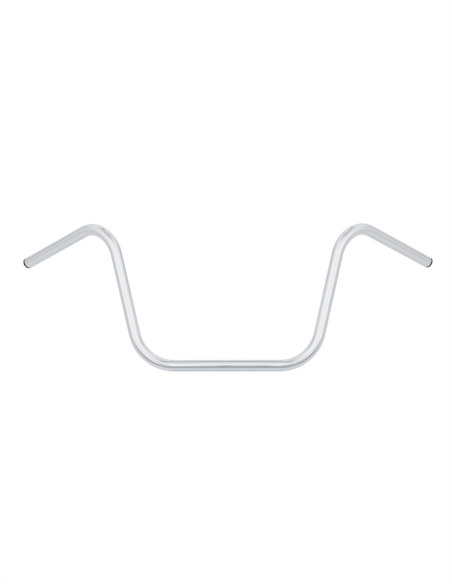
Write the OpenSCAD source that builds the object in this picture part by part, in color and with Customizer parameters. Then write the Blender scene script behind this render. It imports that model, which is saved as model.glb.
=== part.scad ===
// Motorcycle handlebar: one bent steel tube, chromium plated, with a black push-in plug in each end.
//
// The tube is described as a bender would set it up: straights, bend radii, bend angles and the turn
// of the bending plane between the two bends of each arm. All lengths are millimetres.
//
// The origin is the middle of the centre straight, which the risers clamp. X runs along that straight,
// Y points backwards to the rider and Z points up in the plane of the two uprights. The throttle is on
// the rider's right, which is the -X side, and the clutch is on the +X side.

/* [Tube] */
// Outside diameter, the common size that risers, levers and grips fit
tube_od = 22.2; // [19:0.1:28.6]
// Thickness of the steel wall
tube_wall = 2; // [1.2:0.1:3]
// Radius on the outer edge of each cut end
end_round = 0.8; // [0.3:0.1:1]
// How much smaller the radius is in a bend, where bending has drawn the tube down
bend_draw = 0.03; // [0.02:0.01:0.1]

/* [Centre and uprights] */
// Length of the centre straight between the two lower bends
centre_straight = 204; // [120:1:320]
// Centreline radius of the lower bends
lower_bend_r = 78; // [45:1:110]
// Angle of the lower bends, 90 would stand the uprights plumb
lower_bend_angle = 77.5; // [60:0.5:90]
// Length of the straight part of each upright
upright_straight = 157; // [60:1:320]

/* [Grips] */
// Turn of the upper bends' plane, backwards from the plane of the uprights
sweep_turn = 36; // [0:1:75]
// Centreline radius of the upper bends
upper_bend_r = 60; // [45:1:90]
// Angle of the upper bends
upper_bend_angle = 100.5; // [80:0.5:115]
// Length of the straight that the grip, lever and switches fit on
grip_straight = 177; // [130:1:240]

/* [End plugs] */
// Thickness of the plug's head, outside the tube
plug_head_t = 4.5; // [1.5:0.1:6]
// How far the head's rim stays inside the tube's outside wall, so that a grip slides over it
plug_head_inset = 0.1; // [0:0.05:0.5]
// Radius on the outer edge of the head
plug_head_round = 1.2; // [0.3:0.1:1.4]
// Length of the hollow stem inside the tube
plug_stem_l = 20; // [14:0.5:35]
// Thickness of the stem's wall
plug_stem_wall = 1.5; // [0.8:0.1:2]
// Number of flexible fins round the stem
plug_fins = 4; // [2:1:5]
// Thickness of a fin at its root
plug_fin_t = 1.6; // [0.8:0.1:2]
// Height of a fin above the stem
plug_fin_h = 1.4; // [0.6:0.1:2]
// Gap left between the fins and the tube's bore
plug_fit = 0.1; // [0.05:0.05:0.3]

/* [Hidden] */

$fn = 96;

tube_r = tube_od / 2;
bore_r = tube_r - tube_wall;
// How far a cutting solid runs past the face that it cuts
overrun = 1;
// How far a straight reaches over the drawn-down bend at each end of it
lap = 1;
// Length of the turned piece at the tip of the grip that carries the rounded edge
end_piece_l = 2 * end_round;

plug_head_r = tube_r - plug_head_inset;
plug_fin_r = bore_r - plug_fit;
plug_stem_r = plug_fin_r - plug_fin_h;
plug_hollow_r = plug_stem_r - plug_stem_wall;
plug_fin_pitch = plug_stem_l / plug_fins;
// Share of a fin's root thickness that is left at its tip
fin_tip_share = 0.4;

chrome = [0.80, 0.82, 0.84];
black_plastic = [0.06, 0.06, 0.07];

// The bending frame: the tube runs on along local +Z and is bent towards local +X.
// At the +X end of the centre straight, local +X points up.
module at_first_bend() {
    translate([centre_straight / 2, 0, 0]) rotate([0, -90, 180]) children();
}

// Carries its children from the start of a bend to its end
module past_bend(bend_r, angle) {
    translate([bend_r, 0, 0]) rotate([0, angle, 0]) translate([-bend_r, 0, 0]) children();
}

module at_upright() {
    at_first_bend() past_bend(lower_bend_r, lower_bend_angle) children();
}

// The upper bend turns outwards, opposite to the lower one, and then backwards by sweep_turn
module at_upper_bend() {
    at_upright() translate([0, 0, upright_straight]) rotate([0, 0, 180 + sweep_turn]) children();
}

module at_grip() {
    at_upper_bend() past_bend(upper_bend_r, upper_bend_angle) children();
}

module at_grip_end() {
    at_grip() translate([0, 0, grip_straight]) children();
}

// A straight stretch of round bar, of radius r, between two bends
module straight(r, l) {
    translate([0, 0, -lap]) cylinder(r = r, h = l + 2 * lap);
}

// A round bar that is bent at bend_r through the angle, its radius r drawn down
module bend(r, bend_r, angle) {
    translate([bend_r, 0, 0])
        rotate([90, 0, 180])
            rotate_extrude(angle = angle)
                translate([bend_r, 0])
                    circle(r = r - bend_draw);
}

// Outline, from the axis outwards, of a disc whose upper outer edge is rounded
module rounded_disc_outline(r, h, edge_r) {
    square([r, h - edge_r]);
    square([r - edge_r, h]);
    translate([r - edge_r, h - edge_r]) intersection() {
        circle(r = edge_r);
        square(edge_r);
    }
}

// The +X arm as a round bar of radius r, up to end_l along the grip
module arm(r, end_l) {
    at_first_bend() bend(r, lower_bend_r, lower_bend_angle);
    at_upright() straight(r, upright_straight);
    at_upper_bend() bend(r, upper_bend_r, upper_bend_angle);
    at_grip() translate([0, 0, -lap]) cylinder(r = r, h = end_l + lap);
}

module both_sides() {
    children();
    mirror([1, 0, 0]) children();
}

module centre_bar(r) {
    translate([-centre_straight / 2, 0, 0]) rotate([0, 90, 0]) straight(r, centre_straight);
}

module outer_form() {
    centre_bar(tube_r);
    both_sides() {
        arm(tube_r, grip_straight - end_piece_l);
        at_grip_end() translate([0, 0, -end_piece_l])
            rotate_extrude() rounded_disc_outline(tube_r, end_piece_l, end_round);
    }
}

module bore() {
    centre_bar(bore_r);
    both_sides() arm(bore_r, grip_straight + overrun);
}

// Outline of one fin: it leans back towards the head, so that it slides in and grips on the way out
module fin_outline() {
    tip_t = plug_fin_t * fin_tip_share;
    polygon([
        [plug_hollow_r, 0],
        [plug_stem_r, 0],
        [plug_fin_r, plug_fin_t - tip_t],
        [plug_fin_r, plug_fin_t],
        [plug_hollow_r, plug_fin_t],
    ]);
}

// A push-in plug at the origin: the tube's end face lies in the XY plane and the stem hangs below it
module end_plug() {
    rotate_extrude() {
        rounded_disc_outline(plug_head_r, plug_head_t, plug_head_round);
        translate([plug_hollow_r, -plug_stem_l]) square([plug_stem_wall, plug_stem_l + plug_head_t / 2]);
        for (i = [1 : plug_fins])
            translate([0, -i * plug_fin_pitch]) fin_outline();
    }
}

module handlebar_tube() {
    color(chrome) difference() {
        outer_form();
        bore();
    }
}

module clutch_end_plug() {
    color(black_plastic) at_grip_end() end_plug();
}

module throttle_end_plug() {
    color(black_plastic) mirror([1, 0, 0]) at_grip_end() end_plug();
}

handlebar_tube();
clutch_end_plug();
throttle_end_plug();
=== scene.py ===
# %% [markdown]
# # A chromium-plated motorcycle handlebar
#
# The bar is one steel tube, bent four times, polished and then plated with chromium. A black plastic
# plug closes each end. A mirror has no look of its own, it shows what stands round it, so half of
# this lesson is the tube's exact shape and the other half is the studio that it reflects.
#
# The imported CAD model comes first. It is the frame that every piece here has to fit, so its box is
# kept, to be compared with the box of the finished pieces in the last cell.

# %% Load the frame
import math

import bmesh
import bpy
import numpy as np
from mathutils import Matrix, Vector


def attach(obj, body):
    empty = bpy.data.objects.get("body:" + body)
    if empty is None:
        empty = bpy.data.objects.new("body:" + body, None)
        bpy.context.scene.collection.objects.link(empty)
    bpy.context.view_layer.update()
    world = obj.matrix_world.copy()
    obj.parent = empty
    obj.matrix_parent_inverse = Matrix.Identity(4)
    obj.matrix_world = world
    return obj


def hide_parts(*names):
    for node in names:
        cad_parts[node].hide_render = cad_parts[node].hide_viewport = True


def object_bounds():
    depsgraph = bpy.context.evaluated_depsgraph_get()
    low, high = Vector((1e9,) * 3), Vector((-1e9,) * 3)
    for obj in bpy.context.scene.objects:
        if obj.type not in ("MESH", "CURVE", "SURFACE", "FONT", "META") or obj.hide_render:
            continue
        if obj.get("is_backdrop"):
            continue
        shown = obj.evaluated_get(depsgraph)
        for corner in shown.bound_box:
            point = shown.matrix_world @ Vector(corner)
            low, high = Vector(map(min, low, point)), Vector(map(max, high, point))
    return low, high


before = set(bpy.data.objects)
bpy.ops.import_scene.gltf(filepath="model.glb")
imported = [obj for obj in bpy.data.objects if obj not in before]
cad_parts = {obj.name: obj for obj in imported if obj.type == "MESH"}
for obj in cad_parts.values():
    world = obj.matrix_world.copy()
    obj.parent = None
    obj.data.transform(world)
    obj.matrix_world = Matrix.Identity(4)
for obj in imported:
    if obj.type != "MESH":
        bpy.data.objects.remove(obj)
cad_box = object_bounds()
print("CAD nodes:", sorted(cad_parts))
print("CAD box in mm:", [[round(x * 1000, 1) for x in corner] for corner in cad_box])

# %% [markdown]
# ## The path that the bender follows
#
# A handlebar is drawn as a list of runs: go straight, bend through an angle, turn the bending plane,
# and so on. A curve object with handles could be pulled into this shape by eye, but its radii would
# only be near the real ones. Here each run is worked out exactly, as the bending machine does it.
#
# The clutch half, on the +X side, is written down from the middle outwards, and the throttle half is
# its mirror image. A bend also carries two cross directions along without twisting them, which keeps
# the rings of the mesh in line all the way through.

# %% The runs of one half, from the middle to the grip end
# Metres in a millimetre: Blender's own unit is the metre
MM = 0.001

# Length of a straight, or radius and angle of a bend with the turn of its plane, in mm and degrees.
# The upper bend goes the other way than the lower one, by 180, and 36 degrees backwards to the rider.
RUNS = [
    {"length": 102},
    {"radius": 78, "angle": 77.5, "turn": 0},
    {"length": 157},
    {"radius": 60, "angle": 100.5, "turn": 180 + 36},
    {"length": 177},
]


def run_length(run):
    """Length of a run in mm. A bend is radius times angle in radians."""
    return run["length"] if "length" in run else run["radius"] * math.radians(run["angle"])


STARTS = np.cumsum([0] + [run_length(run) for run in RUNS])
HALF_LENGTH = STARTS[-1]
BENDS = [number for number, run in enumerate(RUNS) if "radius" in run]
print("run starts in mm:", STARTS.round(1), "whole tube:", round(2 * HALF_LENGTH, 1))


# %% Point and cross directions anywhere on the path
def path_at(distance):
    """Centreline point and its two cross directions, at these distances in mm from the middle.

    On a straight, the point is the start plus the distance times the heading. On a bend, the start
    turns about the bend's centre by distance over radius, and each direction v turns about the hinge k
    by the rule v cos a + (k x v) sin a + k (k . v)(1 - cos a). A distance below zero lies on the
    throttle half: it is worked out for the clutch half, and its x values change sign.
    """
    far = np.abs(distance)
    point = np.zeros((len(far), 3))
    cross = np.zeros((len(far), 2, 3))
    here, axes = np.zeros(3), np.array([[1.0, 0, 0], [0, 0, 1.0], [0, -1.0, 0]])
    for run, start in zip(RUNS, STARTS):
        on = far >= start
        along = far[on] - start
        if "length" in run:
            point[on] = here + along[:, None] * axes[0]
            cross[on] = axes[1:]
            here = here + run["length"] * axes[0]
            continue
        turn, radius = math.radians(run["turn"]), run["radius"]
        side = axes[1] * math.cos(turn) + axes[2] * math.sin(turn)
        centre, hinge = here + radius * side, np.cross(axes[0], side)

        def turned(vector, angle):
            """The vector turned about the hinge by each angle, by the rule above."""
            c, s = np.cos(angle)[:, None], np.sin(angle)[:, None]
            return vector * c + np.cross(hinge, vector) * s + hinge * (hinge @ vector) * (1 - c)

        angle = along / radius
        point[on] = centre + turned(here - centre, angle)
        cross[on] = np.stack([turned(axes[1], angle), turned(axes[2], angle)], axis=1)
        whole = np.array([math.radians(run["angle"])])
        here = centre + turned(here - centre, whole)[0]
        axes = np.array([turned(v, whole)[0] for v in axes])
    flip = np.where(distance < 0, -1.0, 1.0)
    point[:, 0] *= flip
    cross[:, :, 0] *= flip[:, None]
    return point, cross


clutch_end = path_at(np.array([HALF_LENGTH]))[0][0]
print("middle of the clutch end in mm:", clutch_end.round(2))

# %% [markdown]
# ## A mesh from a grid of points
#
# Every surface here is a grid: one direction runs along the piece and the other goes round it. NumPy
# works out all the points at once, and one helper joins neighbours into four-sided faces and hands
# the arrays to Blender in one go. Where a ring shrinks to a point on the axis, its doubles merge.
#
# The faces of a grid all turn the same way, either outwards or inwards. The volume inside the mesh is
# printed too: it comes out above zero only if they point outwards.


# %% Grid to mesh
# Points closer than this, in mm, are one point
SAME_POINT = 0.001


def grid_object(name, points, loop_rows, material, body="root"):
    """Object over points[row, column, xyz] in mm. Columns close round, rows too if loop_rows.

    Face (i, j) joins the points (i, j), (i, j+1), (i+1, j+1) and (i+1, j), in that order.
    """
    rows, columns = points.shape[:2]
    i, j = np.meshgrid(np.arange(rows if loop_rows else rows - 1), np.arange(columns), indexing="ij")
    i2, j2 = (i + 1) % rows, (j + 1) % columns
    corners = np.stack([i * columns + j, i * columns + j2, i2 * columns + j2, i2 * columns + j], -1)
    mesh = bpy.data.meshes.new(name)
    mesh.from_pydata((points.reshape(-1, 3) * MM).tolist(), [], corners.reshape(-1, 4).tolist())
    joined = bmesh.new()
    joined.from_mesh(mesh)
    bmesh.ops.remove_doubles(joined, verts=joined.verts, dist=SAME_POINT * MM)
    volume = joined.calc_volume(signed=True) / MM**3
    joined.to_mesh(mesh)
    joined.free()
    mesh.shade_smooth()
    mesh.materials.append(material)
    obj = bpy.data.objects.new(name, mesh)
    bpy.context.scene.collection.objects.link(obj)
    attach(obj, body)
    mesh.calc_loop_triangles()
    print(name, "has", len(mesh.loop_triangles), "triangles and holds", round(volume), "cubic mm")
    return obj


def round_profile(corner, radius, start, end, steps=8):
    """Points on an arc of a profile: corner + radius times (cos a, sin a), a from start to end."""
    a = np.radians(np.linspace(start, end, steps + 1))
    return np.stack([corner[0] + radius * np.cos(a), corner[1] + radius * np.sin(a)], axis=1)


# %% [markdown]
# ## Nodes and colours
#
# Materials are built from nodes. One small function adds a node, sets it up and links its sockets,
# so that each material below reads as a list. Colours are written as sRGB hex values, as a paint
# chart gives them, and turned to the linear values that the renderer works in.


# %% Helpers for nodes and colours
def linear(hex_value):
    """Linear colour of an sRGB hex value: c / 12.92 when dark, else ((c + 0.055) / 1.055) ^ 2.4."""
    c = np.array([int(hex_value[k : k + 2], 16) / 255 for k in (0, 2, 4)])
    return (*np.where(c <= 0.04045, c / 12.92, ((c + 0.055) / 1.055) ** 2.4).tolist(), 1.0)


def add(tree, kind, links=None, values=None, **settings):
    """Adds a node of this kind. links and values go by socket name or number.

    The two colours of a Mix node are its sockets 6 and 7.
    """
    node = tree.nodes.new(kind)
    for name, value in settings.items():
        setattr(node, name, value)
    for socket, value in (values or {}).items():
        node.inputs[socket].default_value = value
    for socket, source in (links or {}).items():
        tree.links.new(source, node.inputs[socket])
    return node


def new_material(name):
    """A material with an empty node tree, and that tree."""
    material = bpy.data.materials.new(name)
    material.use_nodes = True
    material.node_tree.nodes.clear()
    return material, material.node_tree


print("the paint-chart grey 808080 is", round(linear("808080")[0], 3), "in linear light")

# %% [markdown]
# ## Chromium plate on polished steel
#
# Decorative chromium is a layer of metal, 0.3 thousandths of a millimetre thick, over bright nickel.
# It is a neutral mirror, a little bluer and darker than silver. The nickel under it is levelled in
# the bath, but the steel below was polished on a belt while the tube was still straight. That leaves
# very fine marks round the tube, and waves so shallow that only a reflection shows them.
#
# The marks have to follow the tube through its bends, so the mesh carries the place of each point on
# the straight tube, from before it was bent, and both patterns read that.
#
# Real chromium sends back about two thirds of the light. The plate here is nearly white, because the
# studio further down is written in the greys that the mirror shows, which are dimmed already.

# %% Chromium plate
chrome, tree = new_material("chromium plate on polished steel")
straight_tube = add(tree, "ShaderNodeAttribute", attribute_name="before_bending")

# Belt marks: real ones are 0.05 mm apart, too fine to show. They are drawn 3 mm apart along the tube
# and some 20 mm long round it, so that the mirror is a touch less sharp in places.
MARK_GAP, MARK_LENGTH = 3 * MM, 20 * MM
marks_scale = add(tree, "ShaderNodeMapping", {"Vector": straight_tube.outputs["Vector"]},
                  {"Scale": (1 / MARK_GAP, 1 / MARK_LENGTH, 1 / MARK_LENGTH)})
marks = add(tree, "ShaderNodeTexNoise", {"Vector": marks_scale.outputs[0]}, {"Scale": 1, "Detail": 2})
roughness = add(tree, "ShaderNodeMapRange", {"Value": marks.outputs[0]},
                {"From Min": 0.3, "From Max": 0.7, "To Min": 0.03, "To Max": 0.06})

# Polishing waves: about 25 mm long, 12 mm wide and at most 0.03 mm high
WAVE_LENGTH, WAVE_WIDTH, WAVE_HEIGHT = 25 * MM, 12 * MM, 0.03 * MM
wave_scale = add(tree, "ShaderNodeMapping", {"Vector": straight_tube.outputs["Vector"]},
                 {"Scale": (1 / WAVE_LENGTH, 1 / WAVE_WIDTH, 1 / WAVE_WIDTH)})
waves = add(tree, "ShaderNodeTexNoise", {"Vector": wave_scale.outputs[0]}, {"Scale": 1, "Detail": 1})
relief = add(tree, "ShaderNodeBump", {"Height": waves.outputs[0]},
             {"Strength": 1, "Distance": WAVE_HEIGHT})

plate = add(tree, "ShaderNodeBsdfPrincipled",
            {"Roughness": roughness.outputs[0], "Normal": relief.outputs[0]},
            {"Base Color": linear("F0F1F3"), "Metallic": 1})
add(tree, "ShaderNodeOutputMaterial", {"Surface": plate.outputs[0]})
print(chrome.name, "has", len(tree.nodes), "nodes")

# %% [markdown]
# ## The tube
#
# The tube is one closed skin: along the outside, round the lip of the cut end, back through the bore
# and round the other lip. The profile of that skin is a list of (distance, radius) pairs, which is
# carried along the path. Rings stand close in the bends and far apart on the straights, where more
# would add nothing. A ring right beside each rounded edge holds the shading flat up to it.
#
# Bending on a former flattens a tube a little, so in the bends the skin is drawn in slightly in the
# plane of the bend. The effect fades out over a few millimetres at both ends of the bend.

# %% Sizes of the tube
# Radius outside and in the bore, radius on the outer and inner edge of a cut end, in mm
TUBE_R, BORE_R = 11.1, 9.1
END_ROUND, BORE_ROUND = 0.8, 0.3
# How far a bend is flattened, and the length over which that fades at its ends, in mm
FLATTENED, FADE = 0.12, 8
# Points in a ring
ROUND = 128
# Rings: mm apart on a straight, and degrees apart in a bend, outside and in the bore
STRAIGHT_STEP, BEND_STEP, BORE_BEND_STEP = 12, 1.5, 3
# None of these rings is closer to the cut end, in mm, because the lip has its own
LIP_CLEAR = 6
# How far the two rings that hold the shading flat stand from a rounded edge, in mm
HOLD_FAR, HOLD_NEAR = 3, 0.3


# %% Places of the rings
def rings(bend_step):
    """Distances of the rings from the middle, in mm, from the throttle end to the clutch end.

    Each run of one half is cut into equal steps, as few as keep within the largest step allowed. The
    other half has the same distances with a minus.
    """
    parts = []
    for run, start in zip(RUNS, STARTS):
        count = run_length(run) / STRAIGHT_STEP if "length" in run else run["angle"] / bend_step
        parts.append(np.linspace(start, start + run_length(run), math.ceil(count) + 1)[:-1])
    half = np.concatenate(parts)
    half = half[half < HALF_LENGTH - LIP_CLEAR]
    return np.concatenate([-half[:0:-1], half])


outside = rings(BEND_STEP)
inside = rings(BORE_BEND_STEP)[::-1]
print(len(outside), "rings outside and", len(inside), "in the bore")

# %% Profile of the skin
lip_out = round_profile((HALF_LENGTH - END_ROUND, TUBE_R - END_ROUND), END_ROUND, 90, 0)
lip_in = round_profile((HALF_LENGTH - BORE_ROUND, BORE_R + BORE_ROUND), BORE_ROUND, 0, -90)
hold_out = [[HALF_LENGTH - END_ROUND - gap, TUBE_R] for gap in (HOLD_FAR, HOLD_NEAR)]
hold_in = [[HALF_LENGTH - BORE_ROUND - gap, BORE_R] for gap in (HOLD_NEAR, HOLD_FAR)]
lip = np.concatenate([hold_out, lip_out, lip_in, hold_in])
far_lip = lip[::-1] * [-1, 1]
skin = np.concatenate([
    np.stack([outside, np.full(len(outside), TUBE_R)], axis=1), lip,
    np.stack([inside, np.full(len(inside), BORE_R)], axis=1), far_lip,
])
print("the skin has", len(skin), "rings")


# %% The skin carried along the path
def in_bend(distance, bend):
    """Share of a bend's flattening: 1 inside the bend and 0 outside it.

    Across each end of the bend, s rises evenly from 0 to 1 and the share is s squared times (3 - 2 s).
    """
    far = np.abs(distance)
    inside_by = np.minimum(far - STARTS[bend], STARTS[bend + 1] - far)
    share = np.clip(inside_by / FADE + 0.5, 0, 1)
    return share * share * (3 - 2 * share)


def swept(profile, columns):
    """Points of the skin: centre + r (cos u first cross direction + sin u second cross direction).

    In a bend, r is less by the flattening times the squared cosine of the angle from its plane. The
    same points on the straight tube, (distance, r cos u, r sin u), come second.
    """
    distance, radius = profile[:, 0], profile[:, 1]
    u = np.linspace(0, 2 * math.pi, columns, endpoint=False)
    centre, cross = path_at(distance)
    r = np.repeat(radius[:, None], columns, axis=1)
    for bend in BENDS:
        off_plane = u - math.radians(RUNS[bend]["turn"])
        r = r - FLATTENED * in_bend(distance, bend)[:, None] * np.cos(off_plane) ** 2
    ring = cross[:, None, 0] * np.cos(u)[:, None] + cross[:, None, 1] * np.sin(u)[:, None]
    flat = np.stack([np.repeat(distance[:, None], columns, axis=1), r * np.cos(u), r * np.sin(u)], -1)
    return centre[:, None] + r[..., None] * ring, flat


tube_points, tube_flat = swept(skin, ROUND)
tube = grid_object("chromed_tube", tube_points, True, chrome)
unbent = tube.data.attributes.new("before_bending", "FLOAT_VECTOR", "POINT")
unbent.data.foreach_set("vector", (tube_flat * MM).astype(np.float32).ravel())
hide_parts("handlebar_tube")
print("tube box in mm:", tube_points.min((0, 1)).round(1), tube_points.max((0, 1)).round(1))

# %% [markdown]
# ## Black plastic for the plugs
#
# The plugs are moulded from low-density polyethylene, a soft plastic that squeezes into the tube. It
# is coloured right through with carbon black and has a waxy, half-dull surface: the steel of the
# mould was spark-eroded to a fine grain, which breaks up every reflection. A real grain is 0.1 to
# 0.2 mm across and too fine to show, so it is drawn 0.8 mm across. Handling leaves the wax a little
# duller in some places than in others, in patches of about 6 mm.

# %% Black polyethylene
GRAIN_SIZE, GRAIN_DEPTH = 0.8 * MM, 0.04 * MM
CLOUD_SIZE = 6 * MM

plastic, tree = new_material("black polyethylene, fine mould grain")
on_piece = add(tree, "ShaderNodeTexCoord")
grain = add(tree, "ShaderNodeTexNoise", {"Vector": on_piece.outputs["Object"]},
            {"Scale": 1 / GRAIN_SIZE, "Detail": 3})
cloudy = add(tree, "ShaderNodeTexNoise", {"Vector": on_piece.outputs["Object"]},
             {"Scale": 1 / CLOUD_SIZE, "Detail": 2})
wax = add(tree, "ShaderNodeMapRange", {"Value": cloudy.outputs[0]},
          {"From Min": 0.3, "From Max": 0.7, "To Min": 0.42, "To Max": 0.56})
tint = add(tree, "ShaderNodeMix", {"Factor": cloudy.outputs[0]},
           {6: linear("080808"), 7: linear("0E0E0F")}, data_type="RGBA")
bumps = add(tree, "ShaderNodeBump", {"Height": grain.outputs[0]},
            {"Strength": 0.4, "Distance": GRAIN_DEPTH})
moulded = add(tree, "ShaderNodeBsdfPrincipled",
              {"Base Color": tint.outputs[2], "Roughness": wax.outputs[0], "Normal": bumps.outputs[0]},
              {"IOR": 1.51, "Specular IOR Level": 0.35})
add(tree, "ShaderNodeOutputMaterial", {"Surface": moulded.outputs[0]})
print(plastic.name, "has", len(tree.nodes), "nodes")

# %% [markdown]
# ## The plugs
#
# A plug is turned about its own axis: a flat head that covers the tube's end, and a hollow stem with
# four thin fins that lean back and hold it in the bore. Its profile is walked once round, from the
# middle of the head to the middle of the hollow, and spun. The middle of the head has the shallow
# dish and the tiny nub where the plastic entered the mould.

# %% Sizes of a plug, in mm
# Radius, thickness and rounded edge of the head
HEAD_R, HEAD_T, HEAD_ROUND = 11.0, 4.5, 1.2
# Radius and length of the stem, and radius of the hollow in it
STEM_R, STEM_L, HOLLOW_R = 7.6, 20.0, 6.1
# Radius of the fins, their thickness at the root and at the tip, and how many there are
FIN_R, FIN_ROOT, FIN_TIP, FINS = 9.0, 1.6, 0.64, 4
# The back of a fin slopes by this much, so that it leaves the mould
FIN_SLOPE = 0.02
# Radius of the nub at its top and foot, and how far its middle and edge lie below the head's face
NUB_TOP_R, NUB_FOOT_R, NUB_LOW, NUB_EDGE_LOW = 0.5, 0.6, 0.05, 0.06
# Depth of the dish, radius of its flat bottom and of its edge on the face, and the round between them
DISH_DEPTH, DISH_FLAT_R, DISH_EDGE_R, DISH_ROUND = 0.3, 1.5, 2.2, 1.2
# Extra rings hold the shading flat this far outside the dish and this far inside the head's edge
HOLD_DISH, HOLD_RIM = 0.4, 0.15
# Small and wider break of an edge
BREAK, WIDE_BREAK = 0.1, 0.2
# Height over the tube's end at which the rounding under the head begins, and half way round it
UNDER_HIGH, UNDER_LOW = 0.25, 0.02

# %% Profile of a plug: (radius, height over the tube's end)
gate = [[0, HEAD_T - NUB_LOW], [NUB_TOP_R, HEAD_T - NUB_EDGE_LOW],
        [NUB_FOOT_R, HEAD_T - DISH_DEPTH], [DISH_FLAT_R, HEAD_T - DISH_DEPTH]]
dish = round_profile((DISH_FLAT_R, HEAD_T - DISH_DEPTH + DISH_ROUND), DISH_ROUND, -90, -60, 4)[1:]
face = [[DISH_EDGE_R, HEAD_T], [DISH_EDGE_R + HOLD_DISH, HEAD_T],
        [HEAD_R - HEAD_ROUND - HOLD_RIM, HEAD_T]]
rim = round_profile((HEAD_R - HEAD_ROUND, HEAD_T - HEAD_ROUND), HEAD_ROUND, 90, 0)
under = [[HEAD_R, UNDER_HIGH], [HEAD_R - BREAK, UNDER_LOW], [HEAD_R - WIDE_BREAK, 0],
         [STEM_R + BREAK, 0], [STEM_R, -BREAK]]
pitch = STEM_L / FINS
fins = np.concatenate([
    [[STEM_R, FIN_ROOT + FIN_SLOPE - k * pitch], [FIN_R, FIN_ROOT - k * pitch],
     [FIN_R, FIN_ROOT - FIN_TIP - k * pitch], [STEM_R, -k * pitch]]
    for k in range(1, FINS + 1)
])
hollow = [[STEM_R - WIDE_BREAK, -STEM_L], [HOLLOW_R, -STEM_L], [HOLLOW_R, -WIDE_BREAK],
          [HOLLOW_R - WIDE_BREAK, 0], [0, 0]]
plug_profile = np.concatenate([gate, dish, face, rim, under, fins, hollow])
print("a plug's profile has", len(plug_profile), "points")


# %% Both plugs
def spun(profile, side, columns=96):
    """Points of a turned piece at the end of the tube, side +1 for clutch and -1 for throttle.

    Each is the tube's end point + height times the heading + radius (cos u, sin u) across it.
    """
    centre, cross = path_at(np.array([side * HALF_LENGTH]))
    heading = np.cross(cross[0, 0], cross[0, 1]) * side
    u = np.linspace(0, 2 * math.pi, columns, endpoint=False)
    ring = cross[0, 0] * np.cos(u)[:, None] + cross[0, 1] * np.sin(u)[:, None]
    radius, height = profile[:, 0], profile[:, 1]
    return centre + height[:, None, None] * heading + radius[:, None, None] * ring


# The two plugs are mirror images, which turns faces inside out. So the rows of the one run from the
# hollow to the head and those of the other from the head to the hollow, and all faces point outwards.
for end, side in (("clutch", 1), ("throttle", -1)):
    points = spun(plug_profile, side)[::-side]
    plug = grid_object(end + "_plug", points, False, plastic)
    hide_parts(end + "_end_plug")

# %% [markdown]
# ## The studio in the mirror
#
# What makes chromium look like chromium is the room. In a product studio the bar hangs between large
# white screens: one in front and above, a duller one overhead, a pale blue-grey floor, and the dark
# shape of a camera just below the middle. Walls, shades, poles and a shelf stand beside and behind it.
# All of this is far from the bar, so it is painted on the sky, each thing as one soft-edged oval, and
# only mirrors see it.
#
# Most places, sizes and colours began as the result of a fitting program, which matched them to the
# light and dark bands along the bar, and were then rounded. The others were given one by one. What each
# oval is called is only a guess at what stood there.
#
# A direction is turned until the oval's middle lies on z. Then (x, y) / (1 + z) is a flat map of the
# sky round that middle, on which the oval is a circle once x and y are divided by its half sizes.

# %% Screens and shadows of the studio
# What it stands for, azimuth (0 = camera, 90 = clutch side), elevation, half width and half height in
# degrees, softness of its edge as a share of its size, colour, and whether one stands on both sides.
# Each oval is laid over those before it.
STUDIO_WALL = "D8D8DA"
STUDIO = [
    ("pale wall behind", 180, 28, 110, 67, 0.1, "E7E6E5", False),
    ("white screen in front", 0, 51, 89, 71, 0.1, "FFFFFF", False),
    ("dull ceiling", 0, 80, 29, 44, 0.95, "C5C6CB", False),
    ("pale floor", 0, -78, 51, 18, 0.65, "DEE2E5", False),
    ("strip of paper up to the camera", 0, -62, 4, 98, 0.3, "DFE2E6", False),
    ("shaded floor beside it", 26, -36, 29, 12.5, 0.95, "A5A5AA", True),
    ("camera", 0, -13.5, 6.5, 9.5, 0.1, "A7AEAF", False),
    ("side wall", 100, -8, 41, 17, 0.9, "CED0D4", True),
    ("shade high on the side wall", 110, 29, 43, 20, 0.95, "D2D4D5", True),
    ("bright middle of the screen", 0, 37, 7.5, 14.5, 0.1, "FCFFFF", False),
    ("bright patch of ceiling", 0, 82, 5.5, 20, 0.95, "EAEFF0", False),
    ("lamp housing overhead", 180, 84, 5, 12.5, 0.1, "B2B1B0", False),
    ("bluish light on the floor", 0, -54, 22.5, 8.5, 0.15, "D5E1E5", False),
    ("shadow on the floor", 180, -70, 7.5, 18, 0.9, "BAC3C6", False),
    ("dark thing at the side", 113, 16, 13, 6, 0.15, "BABDC1", True),
    ("thin pole by the camera", -0.7, 0, 0.4, 9, 0.6, "A7AEAF", False),
    ("other thin pole", 1.5, 0, 0.4, 9, 0.6, "A7AEAF", False),
    ("bright upper corner behind", 144, 67, 10, 12, 0.15, "F0F2F0", True),
    ("arm that holds the screen", 20, 61, 3, 17, 0.4, "B4B4B7", True),
    ("dark table edge behind", 180, -16, 34, 8, 0.4, "8F969B", False),
    ("grey shelf behind", 180, 12, 30, 5, 0.6, "C2C7CC", False),
]
print("the studio has", len(STUDIO), "things,", sum(row[-1] for row in STUDIO), "of them on both sides")


# %% The sky as a picture made of ovals
# A touch over 1, so that nothing is divided by zero in the direction opposite to an oval
OVER_ONE = 1.0001


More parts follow.
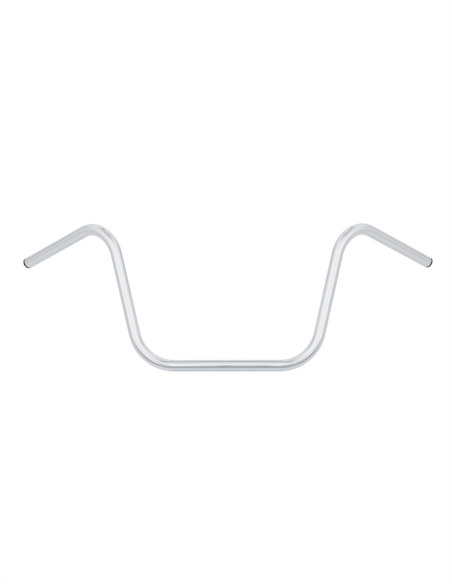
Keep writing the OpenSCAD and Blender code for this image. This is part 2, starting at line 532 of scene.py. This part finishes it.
def oval(tree, direction, under, thing, azimuth, elevation, half_width, half_height, softness, colour):
    """Colour socket: this oval laid over the colour under it, in a node with the thing's name.

    The oval covers the flat map where the length of (x / tan(width / 2), y / tan(height / 2)) is below
    1, with half sizes as width and height, and fades from 1 - softness to 1 + softness.
    """
    towards = (math.radians(90 - elevation), 0, math.radians(azimuth))
    turned = add(tree, "ShaderNodeMapping", {"Vector": direction}, {"Rotation": towards},
                 vector_type="TEXTURE")
    xyz = add(tree, "ShaderNodeSeparateXYZ", {0: turned.outputs[0]})
    above = add(tree, "ShaderNodeMath", {0: xyz.outputs["Z"]}, {1: OVER_ONE}, operation="ADD")
    share = add(tree, "ShaderNodeMath", {1: above.outputs[0]}, {0: 1}, operation="DIVIDE")
    flat = add(tree, "ShaderNodeVectorMath", {0: turned.outputs[0], "Scale": share.outputs[0]},
               operation="SCALE")
    stretch = [1 / math.tan(math.radians(half) / 2) for half in (half_width, half_height)]
    sized = add(tree, "ShaderNodeVectorMath", {0: flat.outputs[0]}, {1: (*stretch, 0)},
                operation="MULTIPLY")
    reach = add(tree, "ShaderNodeVectorMath", {0: sized.outputs[0]}, operation="LENGTH")
    cover = add(tree, "ShaderNodeMapRange", {"Value": reach.outputs["Value"]},
                {"From Min": 1 - softness, "From Max": 1 + softness, "To Min": 1, "To Max": 0},
                interpolation_type="SMOOTHSTEP")
    laid = add(tree, "ShaderNodeMix", {"Factor": cover.outputs[0], 6: under}, {7: linear(colour)},
               data_type="RGBA", label=thing)
    return laid.outputs[2]


world = bpy.data.worlds.new("studio")
bpy.context.scene.world = world
world.use_nodes = True
tree = world.node_tree
tree.nodes.clear()
sky = add(tree, "ShaderNodeTexCoord").outputs["Generated"]
picture = add(tree, "ShaderNodeRGB").outputs[0]
picture.default_value = linear(STUDIO_WALL)
for thing, azimuth, elevation, half_width, half_height, softness, colour, paired in STUDIO:
    for way in ((1, -1) if paired else (1,)):
        picture = oval(tree, sky, picture, thing, way * azimuth, elevation, half_width, half_height,
                       softness, colour)
print("the sky has", len(tree.nodes), "nodes")

# %% [markdown]
# ## Who sees which sky
#
# The photograph has a plain white ground. The camera therefore sees white, mirrors and glass see the
# studio, and all other surfaces are lit by an even pale grey, so that colours come out as written.

# %% Sky for the camera, for mirrors and for the rest
ray = add(tree, "ShaderNodeLightPath")
mirrored = add(tree, "ShaderNodeMath",
               {0: ray.outputs["Is Glossy Ray"], 1: ray.outputs["Is Transmission Ray"]},
               operation="MAXIMUM")
lit = add(tree, "ShaderNodeMix", {"Factor": mirrored.outputs[0], 7: picture},
          {6: linear("DADADA")}, data_type="RGBA")
seen = add(tree, "ShaderNodeMix", {"Factor": ray.outputs["Is Camera Ray"], 6: lit.outputs[2]},
           {7: linear("FFFFFF")}, data_type="RGBA")
background = add(tree, "ShaderNodeBackground", {"Color": seen.outputs[2]}, {"Strength": 1})
add(tree, "ShaderNodeOutputWorld", {"Surface": background.outputs[0]})
print("the whole world has", len(tree.nodes), "nodes")

# %% [markdown]
# ## Floor and lamp
#
# The bar hangs where it sits on a motorcycle, about 0.9 m over the floor. The floor only catches its
# soft shadow. One large soft lamp overhead gives that shadow and shapes the plugs. The chromium does
# not reflect the lamp or the floor, because the studio in its mirror already holds both.

# %% Floor
# How far the floor lies under the centre straight, and half the length of its sides, in metres
FLOOR_DROP, FLOOR_EDGE = 0.9, 1.3

square = ((-1, -1), (1, -1), (1, 1), (-1, 1))
floor_corners = [(x * FLOOR_EDGE, y * FLOOR_EDGE, -FLOOR_DROP) for x, y in square]
floor_mesh = bpy.data.meshes.new("floor")
floor_mesh.from_pydata(floor_corners, [], [(0, 1, 2, 3)])
floor = bpy.data.objects.new("floor", floor_mesh)
bpy.context.scene.collection.objects.link(floor)
paper, tree = new_material("white backdrop paper")
matt = add(tree, "ShaderNodeBsdfDiffuse", values={"Color": linear("F4F4F4")})
add(tree, "ShaderNodeOutputMaterial", {"Surface": matt.outputs[0]})
floor_mesh.materials.append(paper)
floor.is_shadow_catcher = True
floor.visible_glossy = False
floor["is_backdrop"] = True
print("the floor is at", -FLOOR_DROP, "m and catches shadows:", floor.is_shadow_catcher)

# %% Lamp
# Width and depth in metres, power in watts, and the points where it hangs and at which it is aimed
LAMP_WIDTH, LAMP_DEPTH, LAMP_POWER = 2.0, 1.4, 30
LAMP_PLACE, LAMP_AIM = Vector((-0.4, -0.7, 1.9)), Vector((0, 0.05, 0.12))

lamp_data = bpy.data.lights.new("overhead_soft_box", "AREA")
lamp_data.shape = "RECTANGLE"
lamp_data.size = LAMP_WIDTH
lamp_data.size_y = LAMP_DEPTH
lamp_data.energy = LAMP_POWER
lamp = bpy.data.objects.new("overhead_soft_box", lamp_data)
lamp.location = LAMP_PLACE
lamp.rotation_euler = (LAMP_AIM - LAMP_PLACE).to_track_quat("-Z", "Y").to_euler()
lamp.visible_glossy = False
bpy.context.scene.collection.objects.link(lamp)
print("the lamp hangs", round((LAMP_PLACE - LAMP_AIM).length, 2), "m from the bar")

# %% [markdown]
# ## Camera
#
# The camera stands just under 2 m in front of the bar, a little above the middle of it, and looks
# down by 2.4 degrees. Its lens is given on a sensor that is 36 mm along the picture's long side.

# %% Camera
# The point that it is aimed at, its distance, and how far it then moves left and up, in metres
TARGET, DISTANCE = Vector((0, 0, 0.120)), 1.965
MOVE_LEFT, MOVE_UP = 0.0018, 0.0224
# Its turn to the side, downwards and about its own line of sight
YAW, DOWN, ROLL = (math.radians(a) for a in (-0.64, 2.40, -0.13))
# Focal length of the lens and long side of the sensor, in mm
LENS, SENSOR = 62.87, 36

ahead = Vector((math.sin(YAW) * math.cos(DOWN), math.cos(YAW) * math.cos(DOWN), -math.sin(DOWN)))
level = Vector((math.cos(YAW), -math.sin(YAW), 0))
upright = level.cross(ahead)
right = level * math.cos(ROLL) + upright * math.sin(ROLL)
up = upright * math.cos(ROLL) - level * math.sin(ROLL)
camera = bpy.data.objects.new("camera", bpy.data.cameras.new("camera"))
stand = TARGET - ahead * DISTANCE - right * MOVE_LEFT + up * MOVE_UP
camera.matrix_world = Matrix.Translation(stand) @ Matrix((right, up, -ahead)).transposed().to_4x4()
camera.data.sensor_width = SENSOR
camera.data.lens = LENS
bpy.context.scene.collection.objects.link(camera)
bpy.context.scene.camera = camera
bpy.context.scene.view_settings.view_transform = "Standard"
print("camera at", [round(x, 3) for x in stand])

# %% [markdown]
# ## Check the size
#
# The finished pieces may not change the size of the bar. Both boxes are kept, in metres, and the
# largest gap between them is printed in mm.

# %% Sizes, and the end
boxes = {"cad": cad_box, "scene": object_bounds()}
difference = np.abs(np.array(boxes["scene"]) - np.array(boxes["cad"])).max() / MM
print("the boxes differ by at most", round(float(difference), 3), "mm")
